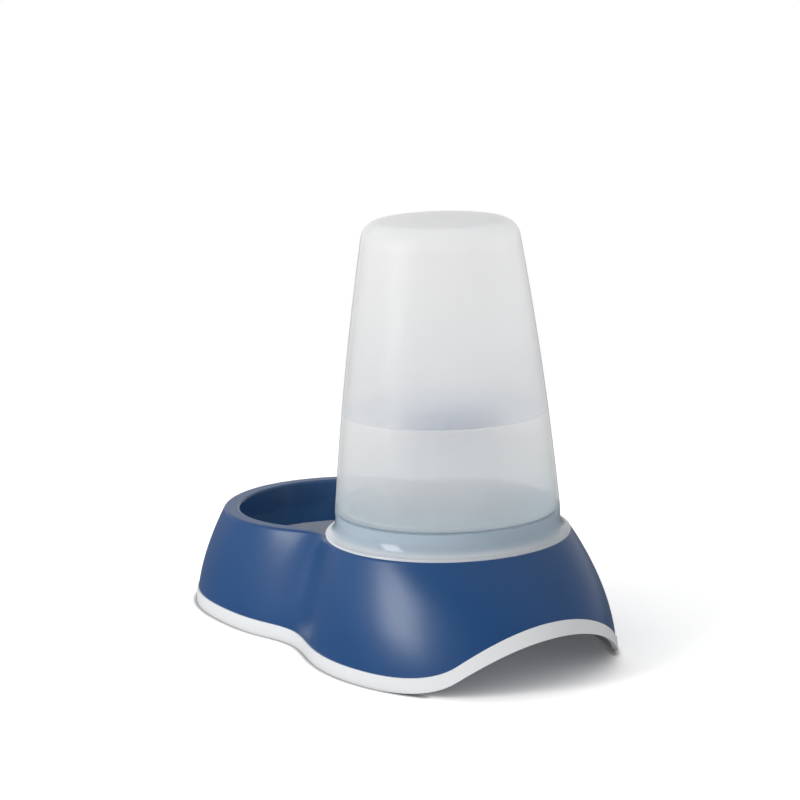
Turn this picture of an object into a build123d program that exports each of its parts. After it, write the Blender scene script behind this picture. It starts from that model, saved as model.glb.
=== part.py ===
from build123d import *
import os
from math import atan2, cos, pi, radians, sin, sqrt, tan

# Gravity water dispenser for pets, in millimetres.
# A base with a drinking bowl carries an upturned reservoir, which is closed by a screw lid with a valve.
# The origin is on the floor below the middle of the base.
# +X points from the reservoir to the bowl and +Z is up.

# Plan of the base
reservoir_x = -53.34  # puts the origin midway between the ends of the base
centre_distance = 118.8  # from the reservoir's axis to the bowl's axis
bowl_radius = 58.5  # opening of the bowl at its rim
bowl_land = 8.7  # width of the bowl's rim
well_radius = 63.5  # opening that the lid sits in
well_land = 5.1  # width of the rim below the lid's flange
basin_waist_radius = 55.0  # concave arc where the well's opening meets the bowl's
waist_lip = 3.6  # width of the rim at the waist
bowl_foot_end = 92.9  # reach of the foot from the bowl's axis, along the base
bowl_foot_side = 78.4  # reach of the foot from the bowl's axis, across the base
bowl_squareness = 2.34  # exponent of the foot's outline round the bowl, where 2 is a plain ellipse
well_foot_shift = 8.0  # the foot is widest this far behind the reservoir's axis
well_foot_end = 105.5  # reach of the foot from its widest place, away from the bowl
well_foot_inner = 120.0  # the same towards the bowl, as if the lobe went on there
well_foot_side = 81.3  # reach of the foot from the reservoir's axis, across the base
well_squareness = 1.85
waist_foot_half = 69.9  # half width of the foot at the waist

# Heights of the base
bowl_rim_height = 60.0
seat_height = 66.7  # rim below the lid's flange
ramp_start = 17.0  # from the reservoir's axis, where the rim starts to fall towards the bowl
ramp_length = 34.0
bowl_flank_power = 1.6  # the flank spreads towards the foot by this power of its height
well_flank_power = 2.2
flank_levels = 6
bowl_floor_height = 18.0
basin_draft = 9.0  # slope of the basin's wall, in degrees
basin_corner = 8.0  # rounding where the basin's wall meets its floor
shell = 2.6  # wall of the base
rim_inner_rounding = 1.5
rim_outer_rounding = 2.2
rim_tolerance = 0.05  # an edge this near the rim's height runs along it

# Finger arch at the reservoir's end
arch_rise = 30.4
arch_half_width = 77.2
arch_crown_radius = 77.2
arch_reach = 30.0  # the arch starts this far from the reservoir's axis

# Soft rim round the foot
rim_height = 8.2
rim_crown_height = 7.0  # its height over the middle of the arch
rim_proud = 0.7  # how far it stands out of the flank
rim_skin = 1.2  # depth of the step that holds it
rim_bed = 3.0  # height below the tongue

# Valve post in the middle of the well
post_radius = 5.0
post_rib_reach = 12.0
post_rib_thickness = 2.0
post_rib_drop = 12.0  # the ribs end this far below the post's top
post_rib_count = 4

# Reservoir
reservoir_radius = 62.5
reservoir_height = 160.8  # from its shoulder to its closed top
reservoir_top_radius = 42.1  # where the side would meet the top
side_bulge = 1.7  # how far the side bows out of a straight taper
top_rounding = 10.5
reservoir_wall = 1.6
shoulder_thickness = 2.2
shoulder_rounding = 1.2
neck_height = 14.0
neck_wall = 2.5

# Lid
lid_rise = 4.9  # plain wall above the flange's skirt
lid_gap = 0.4  # between the lid's wall and the reservoir's shoulder
lid_wall = 2.3
lid_floor = 2.0
lid_side_gap = 1.1  # between the lid and the wall of the well
lid_edge = 0.8  # chamfer round the lid's lower edge
flange_lip = 1.2  # thickness of the flange's outer edge
flange_setback = 0.4  # how far the flange stays inside the edge of the rim it sits on
flange_edge = 0.5  # rounding of the outer edge
skirt_rise = 7.3  # height of the hollow curve from the outer edge up to the wall

# Gasket
gasket_thickness = 2.0
gasket_width = 4.0
gasket_margin = 0.6  # how far it reaches past the neck
gasket_gap = 0.05  # between it and the neck's edge

# Screw thread between the reservoir's neck and the lid
thread_pitch = 6.0
thread_turns = 1.25
thread_height = 1.4
thread_root = 2.4  # width at the wall
thread_tip = 1.2  # width at the crest
thread_bite = 0.4  # how far the ridge sinks into its wall
thread_gap = 0.6  # between a crest and the wall across from it
thread_start = 2.2  # height of the neck's ridge above the neck's edge, at its lower end
thread_shift = 2.1  # the lid's ridge runs this far above the neck's

# Valve
outlet_height = 47.0  # lower edge of the valve tube, which sets the water level
tube_radius = 15.5
tube_wall = 2.0
seat_hole_radius = 10.0
seat_bead_width = 1.2
seat_bead_height = 0.8
valve_travel = 3.6
seal_clearance = 0.1  # left between the seal and its seat when the valve is shut
stem_radius = 3.0
stem_drop = 0.8  # the stem reaches this far below the tube
stem_end_height = 1.8  # below the clip
post_gap = 0.1  # between the post and the stem
guide_clearance = 0.05
guide_wall = 2.5
guide_height = 5.0
guide_spoke_thickness = 2.0
guide_spoke_count = 3
disc_radius = 14.0
disc_thickness = 2.5
disc_edge = 0.8
seal_radius = 13.0
seal_thickness = 2.0
seal_squeeze = 0.05  # the seal's hole is this much smaller than the stem
spring_wire = 1.0
spring_turns = 4.0
spring_clearance = 0.7  # between the spring and the stem
spring_seat_gap = 0.1
clip_radius = 7.2
clip_thickness = 1.8
clip_play = 0.1  # between the clip and its groove
clip_slot = 3.8
groove_depth = 0.8

# Worked out from the values above
bowl_crown_radius = bowl_radius + bowl_land
well_crown_radius = well_radius + well_land
bowl_x = reservoir_x + centre_distance
ramp_end = ramp_start + ramp_length
basin_spread = (seat_height - bowl_rim_height) * tan(radians(basin_draft))
basin_bowl_radius = bowl_radius + basin_spread
flange_radius = well_crown_radius - flange_setback
flange_top = seat_height + flange_lip
skirt_top = flange_top + skirt_rise
lid_top = skirt_top + lid_rise
shoulder_height = lid_top + lid_gap
top_height = shoulder_height + reservoir_height
neck_edge = shoulder_height - neck_height
gasket_bottom = neck_edge - gasket_gap - gasket_thickness
lid_floor_bottom = gasket_bottom - lid_floor
lid_radius = well_radius - lid_side_gap
lid_bore = lid_radius - lid_wall
neck_radius = lid_bore - thread_gap - thread_height
neck_bore = neck_radius - neck_wall
gasket_radius = neck_radius + gasket_margin
tube_bore = tube_radius - tube_wall
seat_top = gasket_bottom + seat_bead_height
seal_bottom = seat_top + seal_clearance + valve_travel
disc_bottom = seal_bottom + seal_thickness
guide_top = gasket_bottom - lid_floor / 2
guide_bottom = guide_top - guide_height
guide_bore = stem_radius + guide_clearance
stem_end = outlet_height - stem_drop
clip_bottom = stem_end + stem_end_height
clip_top = clip_bottom + clip_thickness
groove_radius = stem_radius - groove_depth
post_top = stem_end - post_gap
spring_radius = stem_radius + spring_clearance + spring_wire / 2


def reservoir_plane(height):
    """Level plane on the reservoir's axis at a height."""
    return Plane(origin=(reservoir_x, 0, height), x_dir=(1, 0, 0), z_dir=(0, 0, 1))


def reservoir_section():
    """Upright plane through the reservoir's axis, with its x from the axis and its y the height."""
    return Plane(origin=(reservoir_x, 0, 0), x_dir=(1, 0, 0), z_dir=(0, -1, 0))


def waist_arc(first_radius, second_radius, waist_radius):
    """Centre of the concave arc that joins a circle round the reservoir's axis to one round the bowl's."""
    first = first_radius + waist_radius
    second = second_radius + waist_radius
    along = (first**2 - second**2 + centre_distance**2) / (2 * centre_distance)
    return along, sqrt(first**2 - along**2)


basin_waist_along, basin_waist_across = waist_arc(well_radius, basin_bowl_radius, basin_waist_radius)
basin_waist_half = basin_waist_across - basin_waist_radius - basin_spread
crown_waist_half = basin_waist_half + waist_lip


def rim_height_at(x):
    """Height of the base's rim: level at the seat and at the bowl, with a smooth fall between."""
    share = min(max((x - reservoir_x - ramp_start) / ramp_length, 0), 1)
    return seat_height + (bowl_rim_height - seat_height) * share**2 * (3 - 2 * share)


def squared(value, squareness):
    """Signed power that turns the sine and cosine of a circle into those of a squared ellipse."""
    return abs(value) ** (2 / squareness) * (1 if value > 0 else -1)


def bowl_station(crown_angle, foot_angle):
    """Station of the bowl's lobe: place at the crown, place at the foot, direction and power."""
    crown_turn = radians(crown_angle)
    foot_turn = radians(foot_angle)
    crown = (bowl_x + bowl_crown_radius * cos(crown_turn), bowl_crown_radius * sin(crown_turn))
    foot = (
        bowl_x + bowl_foot_end * squared(cos(foot_turn), bowl_squareness),
        bowl_foot_side * squared(sin(foot_turn), bowl_squareness),
    )
    return crown, foot, (crown_turn + foot_turn) / 2, bowl_flank_power


def well_station(crown_angle, foot_angle):
    """Station of the reservoir's lobe, with the same entries."""
    crown_turn = radians(crown_angle)
    foot_turn = radians(foot_angle)
    reach = well_foot_inner if foot_turn < pi / 2 else well_foot_end
    crown = (
        reservoir_x + well_crown_radius * cos(crown_turn),
        well_crown_radius * sin(crown_turn),
    )
    foot = (
        reservoir_x - well_foot_shift + reach * squared(cos(foot_turn), well_squareness),
        well_foot_side * squared(sin(foot_turn), well_squareness),
    )
    return crown, foot, (crown_turn + foot_turn) / 2, well_flank_power


bowl_angles = [(0, 0), (30, 30), (60, 60), (90, 90), (122, 106)]
well_angles = [(58, 74), (90, 90), (120, 120), (150, 150), (180, 180)]
waist_station = (
    (reservoir_x + basin_waist_along, crown_waist_half),
    (reservoir_x + centre_distance / 2, waist_foot_half),
    pi / 2,
    (bowl_flank_power + well_flank_power) / 2,
)
half_stations = (
    [bowl_station(*angles) for angles in bowl_angles]
    + [waist_station]
    + [well_station(*angles) for angles in well_angles]
)


def flank_outline(height, inset):
    """Points round the flank at one height, drawn in by the inset."""
    half = []
    for crown, foot, direction, power in half_stations:
        spread = 1 - (height / rim_height_at(crown[0])) ** power
        x = crown[0] + spread * (foot[0] - crown[0]) - inset * cos(direction)
        y = crown[1] + spread * (foot[1] - crown[1]) - inset * sin(direction)
        half.append((x, y))
    other_half = [(x, -y) for x, y in half[-2:0:-1]]
    return half + other_half


def flank_solid(inset):
    """The base filled solid up to the seat's height, with its flank drawn in by the inset."""
    with BuildPart() as solid:
        for level in range(flank_levels + 1):
            height = seat_height * level / flank_levels
            with BuildSketch(Plane.XY.offset(height)):
                with BuildLine():
                    Spline(*flank_outline(height, inset), periodic=True)
                make_face()
        loft()
    return solid.part


def below_foot(raised, crown_raised):
    """Everything under the foot's edge, raised by one height at the floor and another over the arch."""
    reach = 3 * centre_distance
    rise = arch_rise + crown_raised - raised
    foot_radius = (arch_half_width**2 + rise**2) / (2 * rise) - arch_crown_radius
    turn = atan2(arch_half_width, foot_radius + arch_crown_radius - rise)
    meet_y = arch_half_width - foot_radius * sin(turn)
    meet_z = foot_radius * (1 - cos(turn)) + raised
    with BuildPart() as solid:
        with BuildSketch(Plane.YZ.offset(reservoir_x - arch_reach)):
            with BuildLine():
                ThreePointArc((-meet_y, meet_z), (0, rise + raised), (meet_y, meet_z))
                RadiusArc((meet_y, meet_z), (arch_half_width, raised), -foot_radius)
                Polyline(
                    (arch_half_width, raised),
                    (reach, raised),
                    (reach, -reach),
                    (-reach, -reach),
                    (-reach, raised),
                    (-arch_half_width, raised),
                )
                RadiusArc((-arch_half_width, raised), (-meet_y, meet_z), -foot_radius)
            make_face()
        extrude(amount=-reach)
        with BuildSketch(Plane.YZ.offset(reservoir_x - arch_reach)):
            with Locations((0, (raised - reach) / 2)):
                Rectangle(2 * reach, raised + reach)
        extrude(amount=2 * reach)
    return solid.part


def above_rim(lowered):
    """Everything above the base's rim lowered by a distance."""
    reach = 3 * centre_distance
    with BuildPart() as solid:
        with BuildSketch(Plane.XZ):
            with BuildLine():
                Line((-reach, seat_height - lowered), (reservoir_x + ramp_start, seat_height - lowered))
                Bezier(
                    (reservoir_x + ramp_start, seat_height - lowered),
                    (reservoir_x + ramp_start + ramp_length / 3, seat_height - lowered),
                    (reservoir_x + ramp_end - ramp_length / 3, bowl_rim_height - lowered),
                    (reservoir_x + ramp_end, bowl_rim_height - lowered),
                )
                Polyline(
                    (reservoir_x + ramp_end, bowl_rim_height - lowered),
                    (reach, bowl_rim_height - lowered),
                    (reach, seat_height + reach),
                    (-reach, seat_height + reach),
                    (-reach, seat_height - lowered),
                )
            make_face()
        extrude(amount=reach, both=True)
    return solid.part


def basin_solid(wall):
    """The space of the well and the bowl, grown by a wall, with a sloping side and a rounded floor."""
    well = well_radius + wall
    bowl = basin_bowl_radius + wall
    waist = basin_waist_radius - wall
    waist_x = reservoir_x + basin_waist_along
    waist_half = basin_waist_across - waist
    well_turn = atan2(basin_waist_across, basin_waist_along)
    bowl_turn = atan2(basin_waist_across, centre_distance - basin_waist_along)
    well_meet_x = reservoir_x + well * cos(well_turn)
    well_meet_y = well * sin(well_turn)
    bowl_meet_x = bowl_x - bowl * cos(bowl_turn)
    bowl_meet_y = bowl * sin(bowl_turn)
    with BuildPart() as solid:
        with BuildSketch(Plane.XY.offset(seat_height)):
            with BuildLine():
                ThreePointArc(
                    (well_meet_x, -well_meet_y), (reservoir_x - well, 0), (well_meet_x, well_meet_y)
                )
                ThreePointArc(
                    (well_meet_x, well_meet_y), (waist_x, waist_half), (bowl_meet_x, bowl_meet_y)
                )
                ThreePointArc(
                    (bowl_meet_x, bowl_meet_y), (bowl_x + bowl, 0), (bowl_meet_x, -bowl_meet_y)
                )
                ThreePointArc(
                    (bowl_meet_x, -bowl_meet_y), (waist_x, -waist_half), (well_meet_x, -well_meet_y)
                )
            make_face()
        extrude(amount=bowl_floor_height - wall - seat_height, taper=basin_draft)
        fillet(solid.edges().group_by(Axis.Z)[0], radius=basin_corner + wall)
    return solid.part


def thread_ridge(wall_radius, height, side):
    """Right-hand screw ridge on a wall, outward for a side of 1 and inward for -1."""
    root = wall_radius - side * thread_bite
    tip = wall_radius + side * thread_height
    with BuildPart() as ridge:
        with BuildLine():
            Helix(
                pitch=thread_pitch,
                height=thread_pitch * thread_turns,
                radius=wall_radius,
                center=(reservoir_x, 0, height),
            )
        with BuildSketch(reservoir_section()):
            with BuildLine():
                Polyline(
                    (root, height - thread_root / 2),
                    (tip, height - thread_tip / 2),
                    (tip, height + thread_tip / 2),
                    (root, height + thread_root / 2),
                    close=True,
                )
            make_face()
        sweep(is_frenet=True)
    return ridge.part


def is_rim_edge(edge):
    """Whether an edge runs round along the upper face of the base's rim."""
    points = [edge @ share for share in (0, 0.25, 0.5, 0.75, 1)]
    level = all(abs(point.Z - rim_height_at(point.X)) < rim_tolerance for point in points)
    return level and edge.geom_type != GeomType.LINE


def is_basin_edge(edge):
    """Whether an edge of the rim runs round the well or the bowl, and not round the flank."""
    point = edge @ 0.5
    along = point.X - reservoir_x
    round_well = sqrt(along**2 + point.Y**2) < well_radius + basin_spread
    round_bowl = sqrt((along - centre_distance) ** 2 + point.Y**2) < bowl_radius + basin_spread
    at_waist = abs(point.Y) < basin_waist_half + waist_lip / 2
    return round_well or round_bowl or at_waist


def corner(sketch, radius, height):
    """The corner of a section nearest to a place."""
    return min(
        sketch.vertices(), key=lambda found: (found.X - radius) ** 2 + (found.Y - height) ** 2
    )


os.makedirs("parts", exist_ok=True)

outer_flank = flank_solid(0)
inner_flank = flank_solid(shell)
tongue_flank = flank_solid(rim_skin)

with BuildPart() as tongue:
    add(tongue_flank)
    add(below_foot(rim_bed, rim_bed), mode=Mode.SUBTRACT)

# Base with the flank, the rim, the well, the bowl and the valve post
with BuildPart(mode=Mode.PRIVATE) as hollow:
    add(inner_flank)
    add(above_rim(shell), mode=Mode.SUBTRACT)

with BuildPart() as base_body:
    add(outer_flank)
    add(below_foot(rim_height, rim_crown_height), mode=Mode.SUBTRACT)
    add(tongue.part)
    add(hollow.part, mode=Mode.SUBTRACT)
    add(basin_solid(shell))
    add(basin_solid(0), mode=Mode.SUBTRACT)
    add(above_rim(0), mode=Mode.SUBTRACT)
    rim_edges = base_body.edges().filter_by(is_rim_edge)
    fillet(rim_edges.filter_by(is_basin_edge, reverse=True), radius=rim_outer_rounding)
    rim_edges = base_body.edges().filter_by(is_rim_edge)
    fillet(rim_edges.filter_by(is_basin_edge), radius=rim_inner_rounding)
    with BuildSketch(reservoir_plane(bowl_floor_height - shell / 2)):
        Circle(post_radius)
    extrude(amount=post_top - bowl_floor_height + shell / 2)
    with BuildSketch(reservoir_plane(bowl_floor_height - shell / 2)):
        with PolarLocations(0, post_rib_count):
            Rectangle(
                post_rib_reach, post_rib_thickness, align=(Align.MIN, Align.CENTER)
            )
    extrude(amount=post_top - post_rib_drop - bowl_floor_height + shell / 2)
base_body.part.label = "base_body"
export_step(base_body.part, "parts/base_body.step")

# Soft rim round the foot, moulded onto the base's tongue
with BuildPart() as non_slip_rim:
    add(flank_solid(-rim_proud))
    add(below_foot(rim_height, rim_crown_height), mode=Mode.INTERSECT)
    add(inner_flank, mode=Mode.SUBTRACT)
    add(below_foot(0, 0), mode=Mode.SUBTRACT)
    add(tongue.part, mode=Mode.SUBTRACT)
non_slip_rim.part.label = "non_slip_rim"
export_step(non_slip_rim.part, "parts/non_slip_rim.step")

# Upturned reservoir with a threaded neck
side_chord = sqrt(reservoir_height**2 + (reservoir_radius - reservoir_top_radius) ** 2)
side_arc = side_chord**2 / (8 * side_bulge) + side_bulge / 2
inner_radius = reservoir_radius - reservoir_wall
inner_top_radius = reservoir_top_radius - reservoir_wall
inner_bottom = shoulder_height + shoulder_thickness
inner_top = top_height - reservoir_wall

with BuildPart(mode=Mode.PRIVATE) as reservoir_space:
    with BuildSketch(reservoir_section()) as section:
        with BuildLine():
            RadiusArc(
                (inner_radius, inner_bottom), (inner_top_radius, inner_top), reservoir_wall - side_arc
            )
            Polyline(
                (inner_top_radius, inner_top),
                (0, inner_top),
                (0, neck_edge),
                (neck_bore, neck_edge),
                (neck_bore, inner_bottom),
                (inner_radius, inner_bottom),
            )
        make_face()
        fillet(corner(section, inner_top_radius, inner_top), radius=top_rounding - reservoir_wall)
        fillet(corner(section, inner_radius, inner_bottom), radius=shoulder_rounding)
    revolve(axis=Axis((reservoir_x, 0, 0), (0, 0, 1)))

with BuildPart() as reservoir:
    with BuildSketch(reservoir_section()) as section:
        with BuildLine():
            RadiusArc(
                (reservoir_radius, shoulder_height), (reservoir_top_radius, top_height), -side_arc
            )
            Polyline(
                (reservoir_top_radius, top_height),
                (0, top_height),
                (0, neck_edge),
                (neck_radius, neck_edge),
                (neck_radius, shoulder_height),
                (reservoir_radius, shoulder_height),
            )
        make_face()
        fillet(corner(section, reservoir_top_radius, top_height), radius=top_rounding)
        fillet(corner(section, reservoir_radius, shoulder_height), radius=shoulder_rounding)
    revolve(axis=Axis((reservoir_x, 0, 0), (0, 0, 1)))
    add(reservoir_space.part, mode=Mode.SUBTRACT)
    add(thread_ridge(neck_radius, neck_edge + thread_start, 1))
reservoir.part.label = "reservoir"
export_step(reservoir.part, "parts/reservoir.step")

# Screw lid with the flange, the valve's tube and the valve's guide
with BuildPart() as reservoir_lid:
    with BuildSketch(reservoir_section()) as section:
        with BuildLine():
            Polyline((lid_bore, lid_top), (reservoir_radius, lid_top), (reservoir_radius, skirt_top))
            EllipticalCenterArc(
                (flange_radius, skirt_top),
                flange_radius - reservoir_radius,
                skirt_rise,
                start_angle=180,
                arc_size=90,
            )
            Polyline(
                (flange_radius, flange_top),
                (flange_radius, seat_height),
                (lid_radius, seat_height),
                (lid_radius, lid_floor_bottom),
                (tube_radius, lid_floor_bottom),
                (tube_radius, outlet_height),
                (tube_bore, outlet_height),
                (tube_bore, lid_floor_bottom),
                (seat_hole_radius, lid_floor_bottom),
                (seat_hole_radius, seat_top),
                (seat_hole_radius + seat_bead_width, seat_top),
                (seat_hole_radius + seat_bead_width, gasket_bottom),
                (lid_bore, gasket_bottom),
                (lid_bore, lid_top),
            )
        make_face()
        fillet(corner(section, flange_radius, flange_top), radius=flange_edge)
        chamfer(corner(section, lid_radius, lid_floor_bottom), length=lid_edge)
    revolve(axis=Axis((reservoir_x, 0, 0), (0, 0, 1)))
    with BuildSketch(reservoir_plane(guide_bottom)):
        Circle(guide_bore + guide_wall)
        with PolarLocations(0, guide_spoke_count):
            Rectangle(
                tube_bore + tube_wall / 2, guide_spoke_thickness, align=(Align.MIN, Align.CENTER)
            )
    extrude(amount=guide_height)
    with BuildSketch(reservoir_plane(guide_bottom)):
        Circle(guide_bore)
    extrude(amount=guide_height, mode=Mode.SUBTRACT)
    add(thread_ridge(lid_bore, neck_edge + thread_start + thread_shift, -1))
reservoir_lid.part.label = "reservoir_lid"
export_step(reservoir_lid.part, "parts/reservoir_lid.step")

# Gasket between the neck's edge and the lid's floor
with BuildPart() as lid_gasket:
    with BuildSketch(reservoir_plane(gasket_bottom)):
        Circle(gasket_radius)
        Circle(gasket_radius - gasket_width, mode=Mode.SUBTRACT)
    extrude(amount=gasket_thickness)
lid_gasket.part.label = "lid_gasket"
export_step(lid_gasket.part, "parts/lid_gasket.step")

# Valve's disc and stem
with BuildPart() as valve_plunger:
    with BuildSketch(reservoir_plane(stem_end)):
        Circle(stem_radius)
    extrude(amount=disc_bottom + disc_thickness / 2 - stem_end)
    with BuildSketch(reservoir_plane(disc_bottom)):
        Circle(disc_radius)
    extrude(amount=disc_thickness)
    fillet(valve_plunger.edges().group_by(Axis.Z)[-1], radius=disc_edge)
    with BuildSketch(reservoir_plane(clip_bottom - clip_play)):
        Circle(stem_radius)
        Circle(groove_radius, mode=Mode.SUBTRACT)
    extrude(amount=clip_thickness + 2 * clip_play, mode=Mode.SUBTRACT)
valve_plunger.part.label = "valve_plunger"
export_step(valve_plunger.part, "parts/valve_plunger.step")

# Valve's seal, stretched onto the stem below the disc
with BuildPart() as valve_seal:
    with BuildSketch(reservoir_plane(seal_bottom)):
        Circle(seal_radius)
        Circle(stem_radius - seal_squeeze, mode=Mode.SUBTRACT)
    extrude(amount=seal_thickness)
valve_seal.part.label = "valve_seal"
export_step(valve_seal.part, "parts/valve_seal.step")

# Spring between the clip and the lid's guide
spring_start = clip_top + spring_seat_gap + spring_wire / 2
spring_rise = guide_bottom - spring_seat_gap - spring_wire / 2 - spring_start
with BuildPart() as valve_spring:
    with BuildLine() as coil:
        Helix(
            pitch=spring_rise / spring_turns,
            height=spring_rise,
            radius=spring_radius,
            center=(reservoir_x, 0, spring_start),
        )
    with BuildSketch(Plane(origin=coil.line @ 0, z_dir=coil.line % 0)):
        Circle(spring_wire / 2)
    sweep(is_frenet=True)
valve_spring.part.label = "valve_spring"
export_step(valve_spring.part, "parts/valve_spring.step")

# Clip in the stem's groove, open at one side
with BuildPart() as valve_clip:
    with BuildSketch(reservoir_plane(clip_bottom)):
        Circle(clip_radius)
        Circle(groove_radius + clip_play, mode=Mode.SUBTRACT)
        Rectangle(
            clip_radius + clip_play, clip_slot, align=(Align.MIN, Align.CENTER), mode=Mode.SUBTRACT
        )
    extrude(amount=clip_thickness)
valve_clip.part.label = "valve_clip"
export_step(valve_clip.part, "parts/valve_clip.step")
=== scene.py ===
import math

import bmesh
import bpy
from mathutils import Matrix, Vector


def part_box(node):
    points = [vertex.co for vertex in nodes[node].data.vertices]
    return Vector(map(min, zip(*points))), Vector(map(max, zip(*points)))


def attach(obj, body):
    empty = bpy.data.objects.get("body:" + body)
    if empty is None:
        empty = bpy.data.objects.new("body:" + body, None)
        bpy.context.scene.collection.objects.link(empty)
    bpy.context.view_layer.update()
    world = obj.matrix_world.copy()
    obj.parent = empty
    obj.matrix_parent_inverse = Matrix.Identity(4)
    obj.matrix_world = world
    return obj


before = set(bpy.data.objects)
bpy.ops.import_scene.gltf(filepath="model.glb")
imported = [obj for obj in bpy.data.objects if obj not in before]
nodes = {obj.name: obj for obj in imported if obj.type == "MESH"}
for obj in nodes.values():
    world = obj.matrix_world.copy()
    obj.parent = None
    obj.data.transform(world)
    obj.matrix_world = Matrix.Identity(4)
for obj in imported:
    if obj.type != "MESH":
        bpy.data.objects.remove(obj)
low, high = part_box("reservoir")
reservoir_x = (low.x + high.x) / 2

# Sizes in metres, as the CAD has them
CENTRE_DISTANCE = 0.1188  # from the reservoir's axis to the bowl's axis
SEAT_HEIGHT = 0.0667
WELL_RADIUS = 0.0635
BOWL_RADIUS = 0.05956  # the bowl's wall carried up to the seat's height
WAIST_RADIUS = 0.055
BASIN_DRAFT = math.radians(9.0)
SHOULDER_TOP = 0.0827
INNER_RADIUS = 0.0609
INNER_TOP_RADIUS = 0.0405
INNER_TOP = 0.2397
SIDE_BULGE = 0.0017
bowl_x = reservoir_x + CENTRE_DISTANCE

# Water
BOWL_WATER = 0.0470
RESERVOIR_WATER = 0.1360
FILM = 0.00025  # kept between water and what holds it
LEVEL_LINE = 0.0003  # half the height over which the wall changes from wet to dry

# Drops on the inside of the reservoir: direction in degrees, height and radius in millimetres
DROPLETS = [
    (144, 225, 0.8), (173, 229, 0.8), (175, 217, 1.0), (192, 211, 0.8), (190, 220, 0.7), (121, 201, 1.1),
    (157, 196, 0.9), (142, 189, 1.1), (116, 184, 1.2), (118, 179, 1.1), (81, 174, 0.9), (112, 169, 1.2),
    (141, 171, 0.9), (133, 184, 0.9), (160, 213, 0.7), (114, 133, 0.9), (-35, 214, 0.9), (-60, 188, 1.1),
    (20, 205, 0.8), (10, 176, 1.0), (-100, 196, 0.9), (-20, 165, 1.1),
]
DROPLET_SHAPE = (0.45, 1.0, 1.1)  # flattened against the wall and drawn down
DROPLET_GAP = 0.0003  # kept between a drop and the wall

# Numbers of straight steps
WATER_STEPS_AROUND = 96
WATER_STEPS_UP = 24
LOBE_STEPS = 96
WAIST_STEPS = 24

# Colours are linear red, green and blue
BASE_BLUE = (0.003, 0.0485, 0.161)
BASIN_BLUE = (0.020, 0.062, 0.160)
RIM_WHITE = (0.615, 0.628, 0.64)
SEAL_GREY = (0.55, 0.55, 0.53)
VALVE_GREY = (0.24, 0.30, 0.36)
SPRING_STEEL = (0.55, 0.55, 0.55)
DROPLET_GREY = (0.74, 0.75, 0.77)
LID_TINT = (0.53, 0.62, 0.69)
# Painted light on the thin outer edge of the lid's flange
LID_EDGE_PAINTED_LIGHT = (0.94, 0.97, 1.0)
# The shoulder's pale colour with painted blue light from the base
SHOULDER_TINT = (0.88, 0.92, 0.94)
# Painted shade in the gap between the reservoir's lower edge and the lid
PAINTED_SEAM_SHADE = (0.22, 0.30, 0.38)
# Painted blue light from the base, on the reservoir's water surface
PAINTED_BASE_BLUE = (0.02, 0.11, 0.30)
# Bluish tint over the water surface's clear part, painted blue light from the base
SURFACE_TINT = (0.82, 0.87, 0.94)

# The frosted wall from its lower edge up: the heights between which it turns to the next colour, with
# painted blue light near the lower edge and painted light at the top among them
WALL_TINTS_AND_PAINTED_LIGHT = [
    # Painted blue light from the base near the lower edge, fading out upward over the next heights
    (0.0809, 0.0823, (0.86, 0.915, 0.945)),
    (0.0820, 0.1100, (0.985, 0.98, 0.97)),
    (RESERVOIR_WATER - LEVEL_LINE, RESERVOIR_WATER + LEVEL_LINE, (0.83, 0.85, 0.89)),
    (RESERVOIR_WATER + LEVEL_LINE, RESERVOIR_WATER + 0.0012, (0.93, 0.928, 0.925)),
    # Painted light: the top is paler where light falls on it
    (0.2250, 0.2410, (0.995, 0.993, 0.99)),
]

# Surfaces
SATIN_ROUGHNESS = 0.34
SATIN_SPECULAR = 0.58
GLOSS_ROUGHNESS = 0.22
GLOSS_SPECULAR = 0.6
SOLID_GRAIN = 1400.0  # fineness of the grain on the solid plastics
CLOUDY_GRAIN = 900.0
GRAIN_DEPTH = 0.0001
GRAIN_DETAIL = 2.0

# Distances from the reservoir's axis between which painted shade darkens the wall's lower edge and painted
# light whitens the lid's flange edge
SEAM_SHADE_EDGE = (0.0600, 0.0618)
FLANGE_LIGHT_EDGE = (0.0628, 0.0658)
BASIN_EDGE = 0.0005  # half the width over which the base turns from satin to gloss

# Painted blue light from the base on the reservoir's water surface: an ellipse that fades outward
PATCH_MIDDLE = (reservoir_x - 0.047, 0.026, RESERVOIR_WATER)
PATCH_LENGTHWAYS = (0.848, -0.530, 0)
PATCH_CROSSWAYS = (0.530, 0.848, 0)
PATCH_SQUEEZE = 0.45  # lengthways distances count this much
PATCH_FADE = (0.006, 0.042)
PATCH_SHARE = 0.85

# Floor and light
FLOOR_SIDE = 12.0
FLOOR_GREY = 0.90
FLOOR_SEEN = 1.22  # what the camera sees of it
FLOOR_MIRRORED = 0.14  # what glossy pieces mirror of it
CONTACT_REACH = 0.004
CONTACT_DARKENING = 3.0
FLOOR_HAZE = 0.08
PLAIN_WHITE = (0.30, 0.75)  # the floor turns plain white for the camera between these distances
CAMERA_SIDE = (-0.664, 0.664, 0.342)
BRIGHT_SIDE = (0.534, 0.845, 0.0)
# How bright the surroundings are where a direction leans toward a side: from, to, first share, last share
MIRRORED_BEHIND_OBJECT = (-0.90, -0.45, 1.0, 0.60)
MIRRORED_BESIDE_CAMERA = (0.26, 0.97, 1.0, 0.16)
LIGHT_BY_SIDE = (-0.9, 0.7, 0.86, 1.12)
KEY_PLACE = (0.03, 1.62, 0.68)
KEY_AIM = (0, 0, 0.1)
KEY_WIDTH = 0.55
KEY_HEIGHT = 1.2
KEY_WATTS = 17.0

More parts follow.
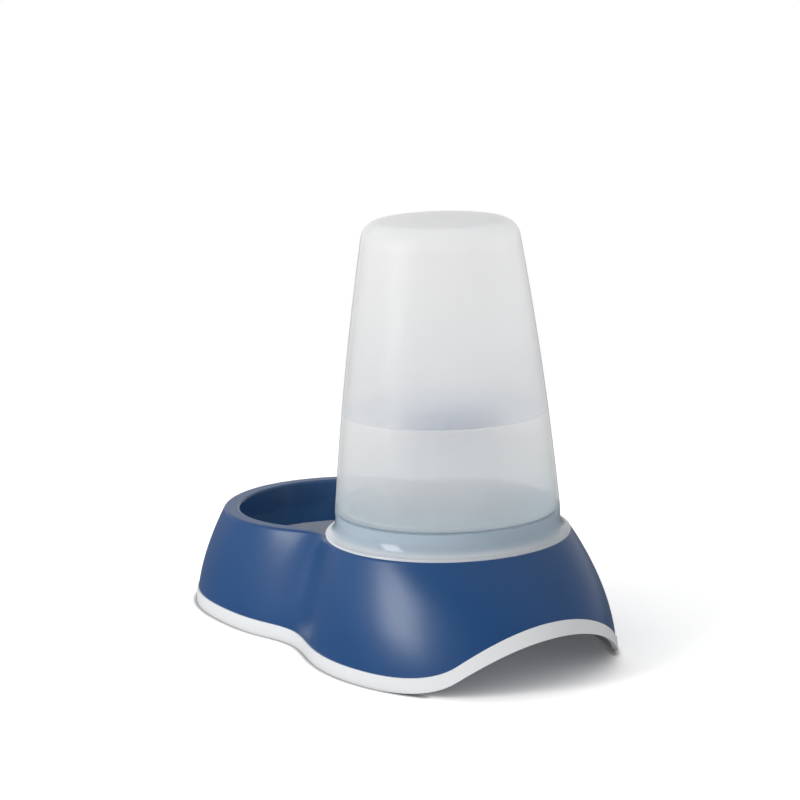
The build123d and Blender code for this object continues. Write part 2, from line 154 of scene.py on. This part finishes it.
# Camera
CAMERA_PLACE = Vector((reservoir_x - 1.26838, 0.82055, 0.45705))
CAMERA_AIM = Vector((reservoir_x + 0.06006, -0.00850, 0.13016))
CAMERA_ROLL = math.radians(-1.686)
CAMERA_LENS = 126.0
SENSOR_WIDTH = 36.0
CAMERA_REACH = 50.0


def grey(level):
    return (level, level, level)


def new_material(name):
    material = bpy.data.materials.new(name)
    material.use_nodes = True
    material.node_tree.nodes.clear()
    return material, material.node_tree


def feed(tree, socket, value):
    """Link another node's output to a socket, or set the socket's own value."""
    if isinstance(value, bpy.types.NodeSocket):
        tree.links.new(value, socket)
    elif socket.type == "RGBA":
        socket.default_value = (*value, 1)
    else:
        socket.default_value = value


def add(tree, kind, inputs=None, **settings):
    """A node with its settings made and its inputs fed, by their names or numbers."""
    node = tree.nodes.new(kind)
    for key, value in settings.items():
        setattr(node, key, value)
    for key, value in (inputs or {}).items():
        feed(tree, node.inputs[key], value)
    return node


def finish_surface(tree, shader):
    add(tree, "ShaderNodeOutputMaterial", {"Surface": shader})


def math_node(tree, operation, *values):
    return add(tree, "ShaderNodeMath", dict(enumerate(values)), operation=operation).outputs[0]


def vector_node(tree, operation, *values):
    return add(tree, "ShaderNodeVectorMath", dict(enumerate(values)), operation=operation)


def place_on_piece(tree):
    return add(tree, "ShaderNodeTexCoord").outputs["Object"]


def ease(tree, value, start, end, first, last):
    """A number that goes smoothly from first to last while the value goes from start to end."""
    inputs = {"Value": value, "From Min": start, "From Max": end, "To Min": first, "To Max": last}
    return add(tree, "ShaderNodeMapRange", inputs, interpolation_type="SMOOTHSTEP").outputs["Result"]


def between(tree, share, first, last):
    """A number that goes from first to last while the share goes from 0 to 1."""
    inputs = {"Value": share, "To Min": first, "To Max": last}
    return add(tree, "ShaderNodeMapRange", inputs).outputs["Result"]


def mix_colours(tree, share, first, second):
    return add(tree, "ShaderNodeMix", {0: share, 6: first, 7: second}, data_type="RGBA").outputs[2]


def mix_shaders(tree, share, first, second):
    return add(tree, "ShaderNodeMixShader", {0: share, 1: first, 2: second}).outputs["Shader"]


def ease_colour(tree, value, start, end, first, last):
    return mix_colours(tree, ease(tree, value, start, end, 0.0, 1.0), first, last)


def toward(tree, vector, direction):
    """How far a vector reaches in a direction."""
    return vector_node(tree, "DOT_PRODUCT", vector, Vector(direction).normalized()).outputs["Value"]


def distance_from_axis(tree, place, centre_x):
    """Distance from the upright axis at centre_x."""
    flat = vector_node(tree, "MULTIPLY_ADD", place, (1, 1, 0), (-centre_x, 0, 0)).outputs["Vector"]
    return vector_node(tree, "LENGTH", flat).outputs["Value"]


def grain(tree, scale, strength):
    """Fine moulded grain as a bump."""
    pattern = {"Vector": place_on_piece(tree), "Scale": scale, "Detail": GRAIN_DETAIL}
    height = add(tree, "ShaderNodeTexNoise", pattern).outputs["Fac"]
    inputs = {"Height": height, "Strength": strength, "Distance": GRAIN_DEPTH}
    return add(tree, "ShaderNodeBump", inputs).outputs["Normal"]


def clear_mix(tree, body, clear, tint=(1, 1, 1)):
    """Lets part of the light straight through a body shader."""
    through = add(tree, "ShaderNodeBsdfTransparent", {"Color": tint})
    return mix_shaders(tree, clear, body, through.outputs["BSDF"])


def gloss_over(tree, body, roughness, ior, normal=None):
    """A surface that reflects over a body shader, on its outer side alone."""
    gloss = add(tree, "ShaderNodeBsdfGlossy", {"Roughness": roughness})
    if normal:
        feed(tree, gloss.inputs["Normal"], normal)
    fresnel = add(tree, "ShaderNodeFresnel", {"IOR": ior}).outputs["Fac"]
    inner_side = add(tree, "ShaderNodeNewGeometry").outputs["Backfacing"]
    share = math_node(tree, "MULTIPLY", fresnel, math_node(tree, "SUBTRACT", 1.0, inner_side))
    return mix_shaders(tree, share, body, gloss.outputs["BSDF"])


def cloudy_body(tree, colour, from_behind, clear):
    """Plastic that glows with the light behind it and lets some straight through."""
    front = add(tree, "ShaderNodeBsdfDiffuse", {"Color": colour})
    back = add(tree, "ShaderNodeBsdfTranslucent", {"Color": colour})
    body = mix_shaders(tree, from_behind, front.outputs["BSDF"], back.outputs["BSDF"])
    return clear_mix(tree, body, clear)


def plastic(name, colour, roughness, grain_strength=0.15):
    material, tree = new_material(name)
    normal = grain(tree, SOLID_GRAIN, grain_strength)
    inputs = {"Base Color": colour, "Roughness": roughness, "Normal": normal}
    finish_surface(tree, add(tree, "ShaderNodeBsdfPrincipled", inputs).outputs["BSDF"])
    return material


def metal(name, colour, roughness):
    material, tree = new_material(name)
    inputs = {"Base Color": colour, "Metallic": 1.0, "Roughness": roughness}
    finish_surface(tree, add(tree, "ShaderNodeBsdfPrincipled", inputs).outputs["BSDF"])
    return material


def base_plastic(name, colour, inside_colour):
    """Satin outside and glossier inside the well and the bowl."""
    material, tree = new_material(name)
    place = place_on_piece(tree)
    shares = []
    for centre_x, radius in ((reservoir_x, WELL_RADIUS), (bowl_x, BOWL_RADIUS)):
        away = distance_from_axis(tree, place, centre_x)
        shares.append(ease(tree, away, radius - BASIN_EDGE, radius + BASIN_EDGE, 1.0, 0.0))
    inside = math_node(tree, "MAXIMUM", *shares)
    inputs = {
        "Base Color": mix_colours(tree, inside, colour, inside_colour),
        "Roughness": between(tree, inside, SATIN_ROUGHNESS, GLOSS_ROUGHNESS),
        "Specular IOR Level": between(tree, inside, SATIN_SPECULAR, GLOSS_SPECULAR),
        "Normal": grain(tree, SOLID_GRAIN, strength=0.12),
    }
    finish_surface(tree, add(tree, "ShaderNodeBsdfPrincipled", inputs).outputs["BSDF"])
    return material


def frosted_wall(name):
    """Frosted plastic, paler where water wets it, with painted light paling its top, painted blue light from
    the base near its lower edge, and painted shade round its lower edge where it meets the lid.
    """
    material, tree = new_material(name)
    place = place_on_piece(tree)
    height = add(tree, "ShaderNodeSeparateXYZ", {0: place}).outputs["Z"]
    away = distance_from_axis(tree, place, reservoir_x)
    # Painted shade darkens the wall's outer lower edge where it meets the lid; inside that ring, painted
    # blue light from the base
    colour = ease_colour(tree, away, *SEAM_SHADE_EDGE, SHOULDER_TINT, PAINTED_SEAM_SHADE)
    for start, end, tint in WALL_TINTS_AND_PAINTED_LIGHT:
        colour = ease_colour(tree, height, start, end, colour, tint)
    body = cloudy_body(tree, colour, from_behind=0.85, clear=0.48)
    normal = grain(tree, CLOUDY_GRAIN, strength=0.2)
    finish_surface(tree, gloss_over(tree, body, roughness=0.36, ior=1.33, normal=normal))
    return material


def lid_plastic(name, colour, painted_edge_light):
    """Cloudy plastic, with painted light making it whiter toward the outer edge of the flange."""
    material, tree = new_material(name)
    away = distance_from_axis(tree, place_on_piece(tree), reservoir_x)
    # Painted light whitens the flange toward its outer edge
    blend = ease_colour(tree, away, *FLANGE_LIGHT_EDGE, colour, painted_edge_light)
    body = cloudy_body(tree, blend, from_behind=0.45, clear=0.20)
    normal = grain(tree, CLOUDY_GRAIN, strength=0.2)
    finish_surface(tree, gloss_over(tree, body, roughness=0.08, ior=1.45, normal=normal))
    return material


def water(name, tint, clear, diffuse_colour, mirrors):
    """Tinted clear water with a little diffuse colour, and with a mirroring surface or without."""
    material, tree = new_material(name)
    body = add(tree, "ShaderNodeBsdfDiffuse", {"Color": diffuse_colour}).outputs["BSDF"]
    body = clear_mix(tree, body, clear, tint)
    if mirrors:
        body = gloss_over(tree, body, roughness=0.0, ior=1.55)
    finish_surface(tree, body)
    return material


def water_with_painted_blue(name):
    """Surface of the water in the reservoir, with painted blue light from the base below."""
    material, tree = new_material(name)
    from_middle = vector_node(tree, "SUBTRACT", place_on_piece(tree), PATCH_MIDDLE).outputs["Vector"]
    length = math_node(tree, "MULTIPLY", toward(tree, from_middle, PATCH_LENGTHWAYS), PATCH_SQUEEZE)
    width = toward(tree, from_middle, PATCH_CROSSWAYS)
    squares = [math_node(tree, "POWER", side, 2.0) for side in (length, width)]
    reach = math_node(tree, "SQRT", math_node(tree, "ADD", *squares))
    # Painted blue light from the base, fading outward from the ellipse's middle
    patch = ease(tree, reach, *PATCH_FADE, PATCH_SHARE, 0.0)
    blue = add(tree, "ShaderNodeBsdfDiffuse", {"Color": PAINTED_BASE_BLUE})
    clear = add(tree, "ShaderNodeBsdfTransparent", {"Color": SURFACE_TINT})
    body = mix_shaders(tree, patch, clear.outputs["BSDF"], blue.outputs["BSDF"])
    finish_surface(tree, gloss_over(tree, body, roughness=0.0, ior=1.2))
    return material


def dress(material, *node_names):
    for node_name in node_names:
        piece = nodes[node_name]
        piece.data.materials.clear()
        piece.data.materials.append(material)


def link_object(name, data):
    piece = bpy.data.objects.new(name, data)
    bpy.context.scene.collection.objects.link(piece)
    return piece


def mesh_object(name, vertices, faces, material):
    mesh = bpy.data.meshes.new(name)
    mesh.from_pydata(vertices, [], faces)
    mesh.update()
    mesh.materials.append(material)
    return link_object(name, mesh)


def inner_wall_radius(height):
    """Inner radius of the reservoir at a height."""
    share = (height - SHOULDER_TOP) / (INNER_TOP - SHOULDER_TOP)
    straight = INNER_RADIUS + share * (INNER_TOP_RADIUS - INNER_RADIUS)
    return straight + 4 * SIDE_BULGE * share * (1 - share)


def make_reservoir_water(material, surface_material):
    """The water that stands in the reservoir above its neck."""
    around, up = WATER_STEPS_AROUND, WATER_STEPS_UP
    bottom = SHOULDER_TOP + FILM
    vertices, faces = [], []
    for level in range(up + 1):
        height = bottom + (RESERVOIR_WATER - bottom) * level / up
        radius = inner_wall_radius(height) - FILM
        for step in range(around):
            turn = 2 * math.pi * step / around
            vertices.append((reservoir_x + radius * math.cos(turn), radius * math.sin(turn), height))
    for level in range(up):
        for step in range(around):
            here = level * around + step
            beside = level * around + (step + 1) % around
            faces.append((here, beside, beside + around, here + around))
    faces.append(tuple(range(around))[::-1])
    faces.append(tuple(up * around + step for step in range(around)))
    piece = mesh_object("reservoir_water", vertices, faces, material)
    piece.data.materials.append(surface_material)
    piece.data.polygons[-1].material_index = 1
    for polygon in piece.data.polygons[: up * around]:
        polygon.use_smooth = True
    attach(piece, "bottle")


def make_droplets(material):
    """Drops that cling to the inside of the reservoir above the water."""
    for index, (direction, height, size) in enumerate(DROPLETS):
        turn = Matrix.Rotation(math.radians(direction), 3, "Z")
        radius = inner_wall_radius(height / 1000) - DROPLET_GAP
        mesh = bpy.data.meshes.new("droplet")
        shape = bmesh.new()
        bmesh.ops.create_icosphere(shape, subdivisions=2, radius=size / 1000)
        bmesh.ops.scale(shape, vec=DROPLET_SHAPE, verts=shape.verts)
        bmesh.ops.translate(shape, vec=(radius - 0.5 * size / 1000, 0, height / 1000), verts=shape.verts)
        bmesh.ops.rotate(shape, cent=(0, 0, 0), matrix=turn, verts=shape.verts)
        bmesh.ops.translate(shape, vec=(reservoir_x, 0, 0), verts=shape.verts)
        shape.to_mesh(mesh)
        shape.free()
        mesh.materials.append(material)
        for polygon in mesh.polygons:
            polygon.use_smooth = True
        piece = link_object(f"droplet_{index + 1}", mesh)
        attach(piece, "bottle")


def basin_outline(height, inset):
    """Points round the well and the bowl at a height."""
    shrink = (SEAT_HEIGHT - height) * math.tan(BASIN_DRAFT) + inset
    first = WELL_RADIUS + WAIST_RADIUS
    second = BOWL_RADIUS + WAIST_RADIUS
    along = (first**2 - second**2 + CENTRE_DISTANCE**2) / (2 * CENTRE_DISTANCE)
    across = math.sqrt(first**2 - along**2)
    well_turn = math.atan2(across, along)
    bowl_turn = math.atan2(across, CENTRE_DISTANCE - along)
    well, bowl, waist = WELL_RADIUS - shrink, BOWL_RADIUS - shrink, WAIST_RADIUS + shrink
    waist_x = reservoir_x + along
    points = []

    def arc(x, y, radius, start, end, steps):
        for step in range(steps):
            turn = start + (end - start) * step / steps
            points.append((x + radius * math.cos(turn), y + radius * math.sin(turn), height))

    arc(reservoir_x, 0, well, well_turn, 2 * math.pi - well_turn, LOBE_STEPS)
    arc(waist_x, -across, waist, math.pi - well_turn, bowl_turn, WAIST_STEPS)
    arc(bowl_x, 0, bowl, bowl_turn - math.pi, math.pi - bowl_turn, LOBE_STEPS)
    arc(waist_x, across, waist, -bowl_turn, well_turn - math.pi, WAIST_STEPS)
    return points


def make_bowl_water(material):
    points = basin_outline(BOWL_WATER, FILM)
    piece = mesh_object("bowl_water", points, [tuple(range(len(points)))], material)
    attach(piece, "base")


def floor_material(name):
    """White floor with a contact shadow, darker in reflections, plain white far from the object."""
    material, tree = new_material(name)
    path = add(tree, "ShaderNodeLightPath")
    contact = add(tree, "ShaderNodeAmbientOcclusion", {"Distance": CONTACT_REACH}, samples=8)
    paint = mix_colours(tree, path.outputs["Is Camera Ray"], grey(FLOOR_GREY), grey(FLOOR_SEEN))
    paint = mix_colours(tree, path.outputs["Is Glossy Ray"], paint, grey(FLOOR_MIRRORED))
    shaded = vector_node(tree, "SCALE", paint)
    feed(tree, shaded.inputs["Scale"], math_node(tree, "POWER", contact.outputs["AO"], CONTACT_DARKENING))
    matte = add(tree, "ShaderNodeBsdfDiffuse", {"Color": shaded.outputs["Vector"]})
    haze = add(tree, "ShaderNodeEmission", {"Strength": FLOOR_HAZE})
    lit = add(tree, "ShaderNodeAddShader", {0: matte.outputs["BSDF"], 1: haze.outputs["Emission"]})
    distance = vector_node(tree, "LENGTH", place_on_piece(tree)).outputs["Value"]
    far = ease(tree, distance, *PLAIN_WHITE, 0.0, 1.0)
    seen_far = math_node(tree, "MULTIPLY", far, path.outputs["Is Camera Ray"])
    white = add(tree, "ShaderNodeEmission").outputs["Emission"]
    finish_surface(tree, mix_shaders(tree, seen_far, lit.outputs["Shader"], white))
    return material


def make_floor():
    side = FLOOR_SIDE / 2
    corners = [(-side, -side, 0), (side, -side, 0), (side, side, 0), (-side, side, 0)]
    floor = mesh_object("floor", corners, [(0, 1, 2, 3)], floor_material("floor_white"))


def make_world():
    """White for the camera. Its light is dimmer from the right, and it mirrors dimmer beside the camera."""
    world = bpy.data.worlds.new("studio")
    bpy.context.scene.world = world
    world.use_nodes = True
    tree = world.node_tree
    tree.nodes.clear()
    direction = add(tree, "ShaderNodeTexCoord").outputs["Generated"]
    path = add(tree, "ShaderNodeLightPath")
    facing = toward(tree, direction, CAMERA_SIDE)
    behind_object = ease(tree, facing, *MIRRORED_BEHIND_OBJECT)
    beside_camera = ease(tree, facing, *MIRRORED_BESIDE_CAMERA)
    dimmer = math_node(tree, "SUBTRACT", math_node(tree, "MULTIPLY", behind_object, beside_camera), 1.0)
    mirrored = math_node(tree, "MULTIPLY", dimmer, path.outputs["Is Glossy Ray"])
    mirrored = math_node(tree, "ADD", mirrored, 1.0)
    side_share = ease(tree, toward(tree, direction, BRIGHT_SIDE), *LIGHT_BY_SIDE)
    strength = math_node(tree, "MULTIPLY", mirrored, side_share)
    light = add(tree, "ShaderNodeBackground", {"Strength": strength}).outputs["Background"]
    white = add(tree, "ShaderNodeBackground").outputs["Background"]
    seen = mix_shaders(tree, path.outputs["Is Camera Ray"], light, white)
    add(tree, "ShaderNodeOutputWorld", {"Surface": seen})


def make_key_light():
    data = bpy.data.lights.new("key", "AREA")
    data.shape = "RECTANGLE"
    data.size = KEY_WIDTH
    data.size_y = KEY_HEIGHT
    data.energy = KEY_WATTS
    lamp = link_object("key", data)
    lamp.location = KEY_PLACE
    lamp.rotation_euler = (Vector(KEY_AIM) - Vector(KEY_PLACE)).to_track_quat("-Z", "Y").to_euler()


def make_camera():
    data = bpy.data.cameras.new("photo_camera")
    data.sensor_width = SENSOR_WIDTH
    data.lens = CAMERA_LENS
    data.clip_end = CAMERA_REACH
    camera = link_object("photo_camera", data)
    level = (CAMERA_AIM - CAMERA_PLACE).to_track_quat("-Z", "Y").to_matrix().to_4x4()
    camera.matrix_world = Matrix.Translation(CAMERA_PLACE) @ level @ Matrix.Rotation(CAMERA_ROLL, 4, "Z")
    bpy.context.scene.camera = camera


dress(base_plastic("base_blue", BASE_BLUE, BASIN_BLUE), "base_body")
dress(plastic("rim_white", RIM_WHITE, 0.5, grain_strength=0.1), "non_slip_rim")
dress(frosted_wall("reservoir_frosted"), "reservoir")
dress(lid_plastic("lid_translucent", LID_TINT, LID_EDGE_PAINTED_LIGHT), "reservoir_lid")
dress(plastic("seal_grey", SEAL_GREY, 0.6), "lid_gasket", "valve_seal")
dress(plastic("valve_grey", VALVE_GREY, 0.4), "valve_plunger", "valve_clip")
dress(metal("spring_steel", SPRING_STEEL, 0.3), "valve_spring")

held_water = water("held_water", tint=(0.99, 0.99, 0.985), clear=0.98, diffuse_colour=grey(0.6), mirrors=False)
# The still water's blue diffuse share is painted blue light from the bowl, which lightens the water
still_water = water("still_water", tint=(0.90, 0.97, 1.0), clear=0.88, diffuse_colour=(0.02, 0.16, 0.42), mirrors=True)
make_reservoir_water(held_water, water_with_painted_blue("water_painted_blue_light"))
make_droplets(plastic("droplets", DROPLET_GREY, 0.1, grain_strength=0.0))
make_bowl_water(still_water)

make_floor()
make_world()
make_camera()
make_key_light()

# Light passes many thin walls one behind another
cycles = bpy.context.scene.cycles
cycles.max_bounces = 24
cycles.diffuse_bounces = 12
cycles.transparent_max_bounces = 32

bpy.context.scene.view_settings.view_transform = "Standard"
bpy.context.scene.view_settings.look = "None"
